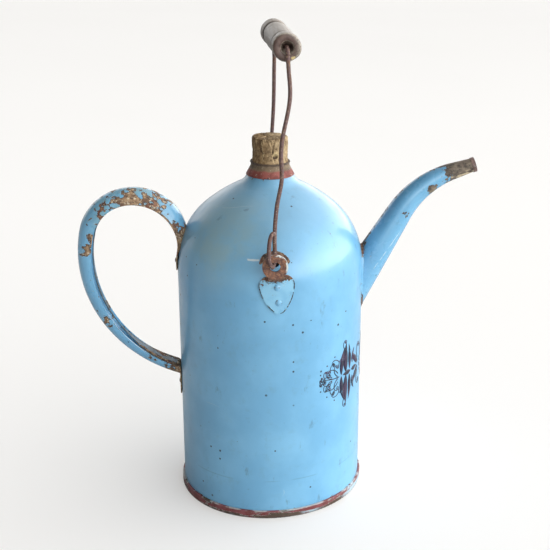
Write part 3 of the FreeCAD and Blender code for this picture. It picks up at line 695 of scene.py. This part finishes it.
def make_cork():
    """The worn cork, closed at both ends."""
    rings = cork_rings()
    vertices = []
    for radius, height in rings:
        upward = max(0.0, (height - CORK_SIDE_TOP) / CORK_EDGE)
        for angle in angles(CORK_SPOKES):
            dent = cork_dent(angle, radius, height)
            reach = max(0.4, radius - dent * (1 - 0.8 * upward))
            vertices.append(turned(angle, reach, height - dent * upward))
    faces = ring_faces(len(rings), CORK_SPOKES, False)
    base, crown = len(vertices), len(vertices) + 1
    vertices.append(Vector((0, 0, CORK_LOW)))
    vertices.append(Vector((0, 0, CORK_HIGH - cork_dent(0, 0.5, CORK_HIGH))))
    last = (len(rings) - 1) * CORK_SPOKES
    for spoke in range(CORK_SPOKES):
        after = (spoke + 1) % CORK_SPOKES
        faces.append((base, after, spoke))
        faces.append((crown, last + spoke, last + after))
    return piece("cork_plug", vertices, faces, cork_material(), "cork")


def cork_material():
    """Mottled cork with dark lenticels, redder and darker towards the handle side, partly painted shade, and
    paler and greyer towards the spout.
    """
    graph = Surface("cork_mottled")
    broad = graph.noise(140, 6, 0.7)
    warm = graph.cover(paint(92, 70, 46), paint(142, 116, 80), broad, 0.38, 0.64)
    cool = graph.cover(paint(122, 102, 74), paint(178, 156, 122), broad, 0.38, 0.64)
    # Darker towards the handle's side: partly the cork's own redder tone, partly painted shade.
    colour = graph.cover(warm, cool, graph.x, -9, 8)
    grain = graph.noise(380, 5, 0.7, (1, 1, 0.35))
    colour = graph.cover(colour, paint(196, 172, 132), grain, 0.5, 0.64, 0.6)
    pores = graph.step(graph.noise(420, 4, 0.75, (1, 1, 0.45)), 0.38, 0.3)
    colour = graph.mix(graph.times(pores, 0.85), colour, paint(46, 30, 22))
    radius = graph.math("SQRT", graph.total(graph.times(graph.x, graph.x), graph.times(graph.y, graph.y)))
    cracked = graph.times(graph.step(radius, 14.9, 14.0), graph.step(graph.z, 330, 328.5))
    colour = graph.mix(graph.times(cracked, 0.85), colour, paint(44, 30, 22))
    bitten = turned(math.radians(BITE_TURN), 15.4, BITE_HEIGHT + 1.6)
    colour = graph.mix(graph.times(graph.near(bitten, 1.6, 3.4), 0.75), colour, paint(214, 190, 142))
    hole = graph.near(bitten - Vector((0, 0, 1.8)), 1.1, 1.9)
    colour = graph.mix(graph.times(hole, 0.9), colour, paint(30, 20, 15))
    relief = graph.total(graph.times(grain, 0.7), graph.times(pores, -0.8))
    return graph.finish(relief, 0.45, Base_Color=colour, Roughness=0.88)


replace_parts(make_cork(), "cork_stopper")

# grip: turned wood on the wire, with a bead, a groove and a cupped mouth at each end
GRIP_CENTRE = Vector(JOINTS["grip_spin"]["pos_m"]) / MM
GRIP_ALONG = Vector(JOINTS["grip_spin"]["axis"])
GRIP_ACROSS = Vector((GRIP_ALONG.y, -GRIP_ALONG.x, 0))
GRIP_SPOKES = 128
GRIP_SPACING = 1.5
GRIP_MIDDLE = 11.7
BORE_RADIUS = 1.85
BORE_HALF = 41.0
BORE_STEPS = 8
# distance from the middle, and radius, from the inside of the mouth outwards and back to the middle
GRIP_PROFILE = (
    (BORE_HALF, BORE_RADIUS), (43.0, 2.6), (45.5, 4.3), (48.0, 5.3), (49.5, 5.9), (50.0, 6.6), (50.0, 8.6),
    (49.85, 9.9), (49.4, 10.9), (48.6, 11.6), (47.4, 11.95), (45.0, 12.0), (42.0, 11.95), (39.0, 11.85),
    (36.0, 11.75), (34.3, 11.6), (33.2, 11.25), (32.3, 10.85), (31.4, 10.6), (30.6, 10.6), (29.7, 10.8),
    (28.8, 11.05), (27.5, 11.2), (24.0, 11.35), (18.0, 11.55), (12.0, 11.65), (6.0, GRIP_MIDDLE),
)
# knocks in the wood: distance along it, direction in degrees, reach and depth
KNOCKS = ((-49.5, -58, 5.0, 1.1), (47, 60, 5.0, 0.8), (12, 130, 4.0, 0.5), (-22, 70, 5.0, 0.4))
HANDLED_RADIUS = 9.0


def grip_wear(along, angle, radius):
    """Dents and open grain of the old wood, only where it is handled."""
    if radius < HANDLED_RADIUS:
        return 0.0
    around = turned(angle)
    slow = 0.16 * (0.5 + 0.5 * noise.noise(Vector((along * 0.05, around.x * 1.2, around.y * 1.2)) * 1.7))
    grain = 0.16 * max(0.0, noise.noise(Vector((along * 0.03, around.x * 9, around.y * 9))))
    knock = 0.0
    for at, middle, reach, deep in KNOCKS:
        across = math.radians(degrees_between(angle, middle)) * radius
        knock += deep * max(0.0, 1 - math.hypot(along - at, across) / reach)
    return slow + grain + knock


def grip_outline():
    """Distance along the grip and radius, once round its section, closely spaced on the outside."""
    outline = [*GRIP_PROFILE, (0.0, GRIP_MIDDLE)]
    outline += [(-along, radius) for along, radius in reversed(GRIP_PROFILE)]
    for step in range(1, BORE_STEPS):
        outline.append((BORE_HALF * (2 * step / BORE_STEPS - 1), BORE_RADIUS))
    fine = []
    for number, (along, radius) in enumerate(outline):
        next_along, next_radius = outline[(number + 1) % len(outline)]
        parts = 1
        if radius > HANDLED_RADIUS:
            parts = max(1, round(abs(next_along - along) / GRIP_SPACING))
        for part in range(parts):
            share = part / parts
            fine.append((along + (next_along - along) * share, radius + (next_radius - radius) * share))
    return fine


def make_grip():
    """The turned roll, its section swept once round the wire's line."""
    outline = grip_outline()
    vertices = []
    for along, radius in outline:
        for angle in angles(GRIP_SPOKES):
            out = GRIP_ACROSS * math.cos(angle) + Vector((0, 0, math.sin(angle)))
            reach = radius - grip_wear(along, angle, radius)
            vertices.append(GRIP_CENTRE + GRIP_ALONG * along + out * reach)
    faces = ring_faces(len(outline), GRIP_SPOKES, True)
    return piece("grip_roll", vertices, faces, wood_material(), "grip")


def wood_material():
    """Dark weathered hardwood: grain along the grip, paler on top and round each end's bevel, which is
    painted sheen and highlight, and dark in the grooves.
    """
    graph = Surface("grip_weathered")
    grain = graph.noise(260, 7, 0.65, (1.0, 0.06, 1.0), 0.3)
    fibre = graph.noise(900, 5, 0.7, (1.0, 0.04, 1.0))
    colour = graph.cover(paint(56, 46, 42), paint(108, 94, 84), grain, 0.36, 0.64)
    colour = graph.cover(colour, paint(136, 120, 104), fibre, 0.54, 0.70, 0.6)
    # Paler where the surface faces up: a painted sheen.
    colour = graph.cover(colour, paint(158, 150, 140), graph.facing[2], 0.1, 0.95, 0.55)
    side = graph.size(graph.y)
    groove = graph.band(side, 31.0, 0.8, 2.4)
    colour = graph.mix(graph.times(groove, 0.75), colour, paint(22, 18, 17))
    end_grain = graph.mix(grain, paint(60, 44, 42), paint(118, 92, 84))
    colour = graph.cover(colour, end_grain, side, 49.0, 49.7, 0.7)
    # A broken pale ring round each end's bevel: a painted highlight.
    rim = graph.times(graph.step(side, 46.6, 47.6), graph.step(side, 49.6, 48.8))
    rubbed = graph.times(rim, graph.step(fibre, 0.42, 0.56, 0.2, 0.75))
    colour = graph.mix(rubbed, colour, paint(176, 168, 154))
    chip = graph.near(GRIP_CENTRE + Vector((8, -49, -8)), 0.6, 3.6)
    chip = graph.total(graph.times(chip, 0.6), graph.noise(420, 5, 0.7))
    colour = graph.cover(colour, paint(206, 186, 132), chip, 0.92, 1.0, 0.9)
    rough = graph.total(graph.step(grain, 0.3, 0.7, 0.34, 0.52), graph.times(groove, 0.25))
    relief = graph.total(graph.times(grain, 0.5), graph.times(fibre, 0.35))
    return graph.finish(relief, 0.3, Base_Color=colour, Roughness=rough)


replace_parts(make_grip(), "bail_grip")

# spout's root: the enamel runs from wall to tube in a hollow rounding
ROOT_LEG = 3.4
ROOT_SPOKES = 120
ROOT_STEPS = 8
ROOT_SINK = 0.12
ROOT_HEEL = 0.5
SPOUT_AXIS = Vector((math.cos(SPOUT_RISE), 0, math.sin(SPOUT_RISE)))
SPOUT_ABOVE = Vector((-math.sin(SPOUT_RISE), 0, math.cos(SPOUT_RISE)))


def wall_reach(height):
    """The can's outside radius at a height, up to the shoulder's first arc."""
    rise = max(0.0, height - SHOULDER_HEIGHT)
    return BODY_RADIUS - SHOULDER_RADIUS + math.sqrt(SHOULDER_RADIUS ** 2 - rise ** 2)


def wall_normal(point):
    """The outward direction of the can's wall or shoulder at a point on it."""
    rise = max(0.0, point.z - SHOULDER_HEIGHT) / SHOULDER_RADIUS
    flat = Vector((point.x, point.y, 0)).normalized()
    return (flat * math.sqrt(1 - rise * rise) + Vector((0, 0, rise))).normalized()


def spout_meets_wall(out, root_radius):
    """Where the tube's line on this side of its axis comes out of the wall, found by halving."""
    at_wall = (BODY_RADIUS - SPOUT_ROOT.x) / SPOUT_AXIS.x
    near_end, far_end = 0.0, 120.0
    for _halving in range(30):
        reach = (near_end + far_end) / 2
        tube = root_radius - SPOUT_TAPER * (reach - at_wall)
        point = SPOUT_ROOT + SPOUT_AXIS * reach + out * tube
        if math.hypot(point.x, point.y) < wall_reach(point.z):
            near_end = reach
        else:
            far_end = reach
    return point


def make_spout_root():
    """A hollow rounding from the wall to the tube, all the way round."""
    root_radius = top_corner("spout_tube").y
    vertices = []
    for angle in angles(ROOT_SPOKES):
        out = SPOUT_ABOVE * math.cos(angle) + Vector((0, math.sin(angle), 0))
        point = spout_meets_wall(out, root_radius)
        normal = wall_normal(point)
        along_wall = (out - normal * out.dot(normal)).normalized()
        leg = ROOT_LEG * (1 + 0.12 * noise.noise(turned(angle) * 3))
        vertices.append(point - (normal + out) * ROOT_HEEL)
        for step in range(ROOT_STEPS):
            turn = math.pi / 2 * step / (ROOT_STEPS - 1)
            lift = SPOUT_AXIS * (1 - math.cos(turn)) + along_wall * (1 - math.sin(turn))
            sink = normal * math.cos(turn) + out * math.sin(turn)
            vertices.append(point + lift * leg - sink * ROOT_SINK)
    faces = ring_faces(ROOT_SPOKES, ROOT_STEPS + 1, True)
    return piece("spout_root_fillet", vertices, faces, blue_root, "can")


make_spout_root()

# -------- ornament on the wall
ORNAMENT_HEIGHT = 126.0
INK_LIFT = 0.14
INK_SINK = 0.10
THINNEST = 0.06
DROP_TOP, DROP_LENGTH, DROP_WIDTH, DROP_STEPS = 15, 24, 13.5, 18
WREATH_RADIUS, WREATH_LEAVES, WREATH_LEAN = 19.5, 22, 62
# leaves to each side, mirrored above and below: place, heading, length, width and curl
LEAVES = (
    (30, 2.0, 28, 21, 5.5, 34),
    (33, 1.0, 70, 17, 4.6, -46),
    (56, 1.0, 84, 29, 7.0, 14),
    (63, 0.5, 88, 26, 5.4, 26),
    (50, 2.5, 96, 25, 5.0, -20),
    (44, 6.0, 80, 15, 3.6, 50),
)
# tendrils to each side, mirrored in the same way: place, heading, length, curl and width
TENDRILS = (
    (31, 6.0, 50, 34, 420, 1.3),
    (56, 22.0, 30, 24, 400, 1.0),
    (68, 1.0, 30, 27, 430, 0.95),
    (68, 4.0, 62, 30, -420, 0.95),
    (67, 9.0, 84, 24, 400, 0.85),
    (66, 14.0, 60, 22, -420, 0.85),
    (75, 1.0, 4, 24, 420, 0.85),
    (75, 2.0, 40, 26, -430, 0.85),
    (77, 7.0, 70, 20, 410, 0.8),
    (83, 1.0, 20, 16, -420, 0.75),
    (84, 4.0, 60, 14, 400, 0.75),
)
BERRIES = ((72, 21), (81, 15), (88, 8))
BERRY_RADIUS = 0.7


def ink():
    """Dark navy paint, rubbed through to the blue in places."""
    graph = Surface("ornament_ink")
    rubbed = graph.step(graph.noise(190, 6, 0.7), 0.62, 0.68)
    tone = graph.cover(paint(20, 28, 52), paint(58, 44, 70), graph.noise(110, 3), 0.46, 0.6)
    colour = graph.mix(graph.times(rubbed, 0.7), tone, ENAMEL_DEEP)
    relief = graph.total(graph.times(rubbed, -0.5), graph.times(graph.noise(600), 0.2))
    return graph.finish(relief, 0.15, Base_Color=colour, Roughness=0.34)


def ahead(angle):
    """The flat direction at an angle."""
    return Vector((math.cos(angle), math.sin(angle)))


class Ribbon:
    """Strokes laid on the wall: each is a thin closed solid, bent round the cylinder.

    turn is the middle's direction in degrees from +X, height the middle's height and stand the
    surface's height off the wall. flip mirrors what is drawn, across and up.
    """

    def __init__(self, turn, height, stand=0.0):
        self.turn = math.radians(turn)
        self.height = height
        self.stand = stand
        self.flip = (1, 1)
        self.vertices = []
        self.faces = []

    def lay(self, flat, lift):
        angle = self.turn + flat.x / BODY_RADIUS
        self.vertices.append(turned(angle, BODY_RADIUS + self.stand + lift, self.height + flat.y))

    def stroke(self, points, widths):
        """A line through flat points, measured from the ornament's middle, with a width at each."""
        points = [Vector((point.x * self.flip[0], point.y * self.flip[1])) for point in points]
        first = len(self.vertices)
        last = len(points) - 1
        for number, point in enumerate(points):
            way = (points[min(last, number + 1)] - points[max(0, number - 1)]).normalized()
            side = Vector((-way.y, way.x)) * max(THINNEST, widths[number]) / 2
            for edge in (1, 0, -1):
                self.lay(point + side * edge, INK_LIFT)
            for edge in (-1, 1):
                self.lay(point + side * edge, -INK_SINK)
        for number in range(last):
            here = first + number * 5
            for corner in range(5):
                after = (corner + 1) % 5
                self.faces.append((here + corner, here + 5 + corner, here + 5 + after, here + after))
        self.faces.append(tuple(range(first, first + 5)))
        self.faces.append(tuple(range(first + last * 5 + 4, first + last * 5 - 1, -1)))

    def leaf(self, across, height, heading, length, width, curl=0.0, steps=16):
        """A pointed leaf that curls as it goes; heading and curl in degrees."""
        points = [Vector((across, height))]
        for number in range(steps):
            angle = math.radians(heading + curl * number / steps)
            points.append(points[-1] + ahead(angle) * length / steps)
        shares = [number / steps for number in range(steps + 1)]
        self.stroke(points, [width * math.sin(math.pi * share ** 0.8) for share in shares])

    def tendril(self, across, height, heading, length, curl, width, steps=36):
        """A line that winds up ever tighter, thins out and ends in a berry."""
        points = [Vector((across, height))]
        angle = math.radians(heading)
        for number in range(steps):
            share = number / steps
            angle += math.radians(curl) * (0.35 + 1.9 * share ** 1.6) / steps
            points.append(points[-1] + ahead(angle) * length * (1.2 - 0.75 * share) / steps)
        self.stroke(points, [width * (1 - 0.55 * number / steps) for number in range(steps + 1)])
        self.berry(points[-1], width * 1.15)

    def berry(self, middle, radius, steps=12):
        points = []
        widths = []
        for number in range(steps + 1):
            angle = math.pi * number / steps
            points.append(middle - Vector((math.cos(angle) * radius, 0)))
            widths.append(2 * radius * math.sin(angle))
        self.stroke(points, widths)


def make_ornament():
    """An oil drop in a wreath, with leafy scrolls to both sides that thin out to filigree."""
    ribbon = Ribbon(0, ORNAMENT_HEIGHT)
    shares = [number / DROP_STEPS for number in range(DROP_STEPS + 1)]
    drop = [Vector((0, DROP_TOP - DROP_LENGTH * share)) for share in shares]
    ribbon.stroke(drop, [DROP_WIDTH * math.sin(math.pi * share ** 1.7) for share in shares])
    for number in range(WREATH_LEAVES):
        angle = 360 * (number + 0.5) / WREATH_LEAVES
        spot = ahead(math.radians(angle)) * WREATH_RADIUS
        lean = math.copysign(1, spot.x)
        heading = angle + WREATH_LEAN * lean
        ribbon.leaf(spot.x, spot.y, heading, length=8.5, width=3.2, curl=20 * lean, steps=8)
    for side in (-1, 1):
        for mirror in (-1, 1):
            ribbon.flip = (side, mirror)
            for leaf in LEAVES:
                ribbon.leaf(*leaf)
            for tendril in TENDRILS:
                ribbon.tendril(*tendril)
            for berry in BERRIES:
                ribbon.berry(Vector(berry), BERRY_RADIUS)
        ribbon.leaf(48, 0, heading=0, length=13, width=4.4)
        ribbon.leaf(46, 0, heading=180, length=12, width=4.4)
        ribbon.flip = (side, 1)
        ribbon.tendril(66, 0, heading=0, length=26, curl=40, width=0.9)
    return piece("wall_ornament", ribbon.vertices, ribbon.faces, ink(), "can")


make_ornament()

# chipped outline of the ears' heart-shaped feet
HEART_STAND = 1.3
HEART_TILT = math.radians(4.8)
HEART_INSET = 0.25
HEART_SPACING = 0.5
HEART_NECK = -15.5
# corners of the heart below the eye's centre, and the radius of the arc that leaves each
HEART_CORNERS = (
    (-4.2, -42.4, 6.0), (4.2, -42.4, 38.0), (14.5, -21.0, 8.2), (0.0, -14.0, 8.2), (-14.5, -21.0, 38.0),
)


def heart_outline():
    """Flat points round the heart, anticlockwise, closely spaced and a little inside."""
    points = []
    for number, (across, height, radius) in enumerate(HEART_CORNERS):
        start = Vector((across, height))
        end = Vector(HEART_CORNERS[(number + 1) % len(HEART_CORNERS)][:2])
        chord = end - start
        rise = math.sqrt(max(0.0, radius ** 2 - chord.length_squared / 4))
        centre = (start + end) / 2 + Vector((-chord.y, chord.x)).normalized() * rise
        begin = math.atan2(start.y - centre.y, start.x - centre.x)
        sweep = 2 * math.asin(min(1.0, chord.length / 2 / radius))
        steps = max(2, round(radius * sweep / HEART_SPACING))
        for step in range(steps):
            points.append(centre + ahead(begin + sweep * step / steps) * (radius - HEART_INSET))
    return points


def make_heart_edge(name, turn, side, seed, material):
    """Chips all along the heart's edge: a broken dark line of uneven width."""
    ribbon = Ribbon(turn, EAR_EYE.z, HEART_STAND)
    ribbon.flip = (side, 1)
    tilt = Matrix.Rotation(HEART_TILT, 2)
    dashes = [([], [])]
    for point in heart_outline():
        level = noise.noise(Vector((point.x * 0.22, point.y * 0.22, seed)))
        ragged = noise.noise(Vector((point.x * 1.3, point.y * 1.3, seed + 5)))
        if level > -0.3 and point.y < HEART_NECK:
            points, widths = dashes[-1]
            points.append(tilt @ point)
            widths.append(0.62 + 0.4 * max(0.0, level) + 0.7 * ragged)
        else:
            dashes.append(([], []))
    for points, widths in dashes:
        if len(points) > 3:
            ribbon.stroke(points, widths)
    return piece(name, ribbon.vertices, ribbon.faces, material, "can")


def chipped_line():
    """The dark ground coat in a line of chips, with pale crumbs of enamel."""
    graph = Surface("heart_chip_line")
    crumbs = graph.step(graph.noise(520, 5, 0.7), 0.56, 0.62)
    coat = graph.cover(GROUND_COAT, paint(74, 72, 72), graph.noise(260, 4), 0.42, 0.6)
    colour = graph.mix(graph.times(crumbs, 0.7), coat, paint(168, 190, 198))
    return graph.finish(crumbs, 0.2, Base_Color=colour, Roughness=0.6)


chip_line = chipped_line()
make_heart_edge("front_heart_chips", -90, 1, 2.0, chip_line)
make_heart_edge("rear_heart_chips", 90, -1, 7.0, chip_line)

# -------- floor, light, camera
FLOOR_REACH = 40.0
FLOOR_SPOKES = 64
FLOOR_GLOW = 0.37
# direction of each glow, how squarely one must look at it for its least and most, and those strengths
WORLD_GLOW = (
    ((0.96, -0.24, -0.14), -0.40, 0.90, 0.14, 4.9),
    ((-0.2, 0.98, 0.0), 0.5, 0.95, 0.0, 1.5),
)
SKY_SHARE = 0.4
BACKDROP = 0.94


def make_floor():
    """A pale matt floor. It glows a little for the camera alone, so that it runs into the backdrop."""
    graph = Surface("floor_pale")
    colour = graph.mix(graph.noise(1.3, 2), (0.55, 0.546, 0.538, 1), (0.58, 0.578, 0.572, 1))
    seen = graph.add("LightPath").outputs["Is Camera Ray"]
    material = graph.finish(
        graph.noise(900), 0.02,
        Base_Color=colour,
        Roughness=0.8,
        Specular_IOR_Level=0.2,
        Emission_Color=(1.0, 0.985, 0.965, 1),
        Emission_Strength=graph.times(seen, FLOOR_GLOW),
    )
    vertices = [Vector((0, 0, 0))] + [turned(angle, FLOOR_REACH) for angle in angles(FLOOR_SPOKES)]
    faces = [(0, 1 + spoke, 1 + (spoke + 1) % FLOOR_SPOKES) for spoke in range(FLOOR_SPOKES)]
    link_mesh("floor", vertices, faces, material, 1.0)


def make_world():
    """A soft studio tent: brightest towards the spout, dimmer on the handle's side and overhead.

    The camera itself sees an even backdrop.
    """
    world = bpy.data.worlds.new("studio")
    bpy.context.scene.world = world
    graph = Graph(world)
    way = graph.add("TexCoord").outputs["Generated"]
    glows = []
    for direction, low, high, least, most in WORLD_GLOW:
        facing = graph.add("VectorMath", {0: way, 1: direction}, operation="DOT_PRODUCT")
        glows.append(graph.step(facing.outputs["Value"], low, high, least, most))
    sky = graph.step(graph.split(way)[2], 0.08, 0.72, 1.0, SKY_SHARE)
    strength = graph.times(graph.total(*glows), sky)
    seen = graph.add("LightPath").outputs["Is Camera Ray"]
    strength = graph.add("Mix", {"Factor": seen, "A": strength, "B": BACKDROP}).outputs["Result"]
    glow = graph.add("Background", {"Color": (1.0, 0.99, 0.975, 1), "Strength": strength})
    graph.add("OutputWorld", {"Surface": glow.outputs[0]})


def make_light(name, place, aim, size, power, colour=(1, 1, 1)):
    """A soft rectangular lamp; place, aim and size in metres, power in watts."""
    data = bpy.data.lights.new(name, "AREA")
    data.shape = "RECTANGLE"
    data.size, data.size_y = size
    data.energy = power
    data.color = colour
    light = bpy.data.objects.new(name, data)
    light.location = place
    light.rotation_mode = "QUATERNION"
    light.rotation_quaternion = (Vector(aim) - Vector(place)).to_track_quat("-Z", "Y")
    bpy.context.scene.collection.objects.link(light)


CAMERA_PLACE = Vector((-0.0380, -0.9458, 0.5419))
CAMERA_YAW = math.radians(10.24)
CAMERA_PITCH = math.radians(19.60)
CAMERA_ROLL = math.radians(-2.30)
CAMERA_LENS = 71.715
CAMERA_SENSOR = 36.0
CAMERA_SHIFT = -0.2539


def make_camera():
    """The viewing camera. Its lens shift holds only at this place: a camera moved elsewhere has none."""
    data = bpy.data.cameras.new("camera")
    data.lens = CAMERA_LENS
    data.sensor_width = CAMERA_SENSOR
    data.clip_start = 0.01
    data.clip_end = 100.0
    camera = bpy.data.objects.new("camera", data)
    bpy.context.scene.collection.objects.link(camera)
    level = Vector((math.cos(CAMERA_YAW), -math.sin(CAMERA_YAW), 0))
    flat = Vector((math.sin(CAMERA_YAW), math.cos(CAMERA_YAW), 0))
    look = flat * math.cos(CAMERA_PITCH) - Vector((0, 0, math.sin(CAMERA_PITCH)))
    upright = level.cross(look)
    right = level * math.cos(CAMERA_ROLL) - upright * math.sin(CAMERA_ROLL)
    up = level * math.sin(CAMERA_ROLL) + upright * math.cos(CAMERA_ROLL)
    camera.rotation_mode = "QUATERNION"
    camera.rotation_quaternion = Matrix((right, up, -look)).transposed().to_quaternion()
    camera.location = CAMERA_PLACE
    curve = data.driver_add("shift_x")
    source = curve.driver.variables.new()
    source.name = "place"
    source.type = "TRANSFORMS"
    source.targets[0].id = camera
    source.targets[0].transform_type = "LOC_X"
    curve.driver.expression = f"{CAMERA_SHIFT} if abs(place - {CAMERA_PLACE.x}) < 0.0005 else 0.0"
    bpy.context.scene.camera = camera


make_floor()
make_world()
make_light("key", (2.4, -1.1, 0.62), (0, 0, 0.18), (2.8, 0.7), 6.0, (1.0, 0.99, 0.97))
make_light("top", (0.5, 0.5, 2.4), (0, 0, 0.1), (2.4, 2.4), 12.0)
make_camera()
bpy.context.scene.view_settings.view_transform = "Standard"
bpy.context.view_layer.update()
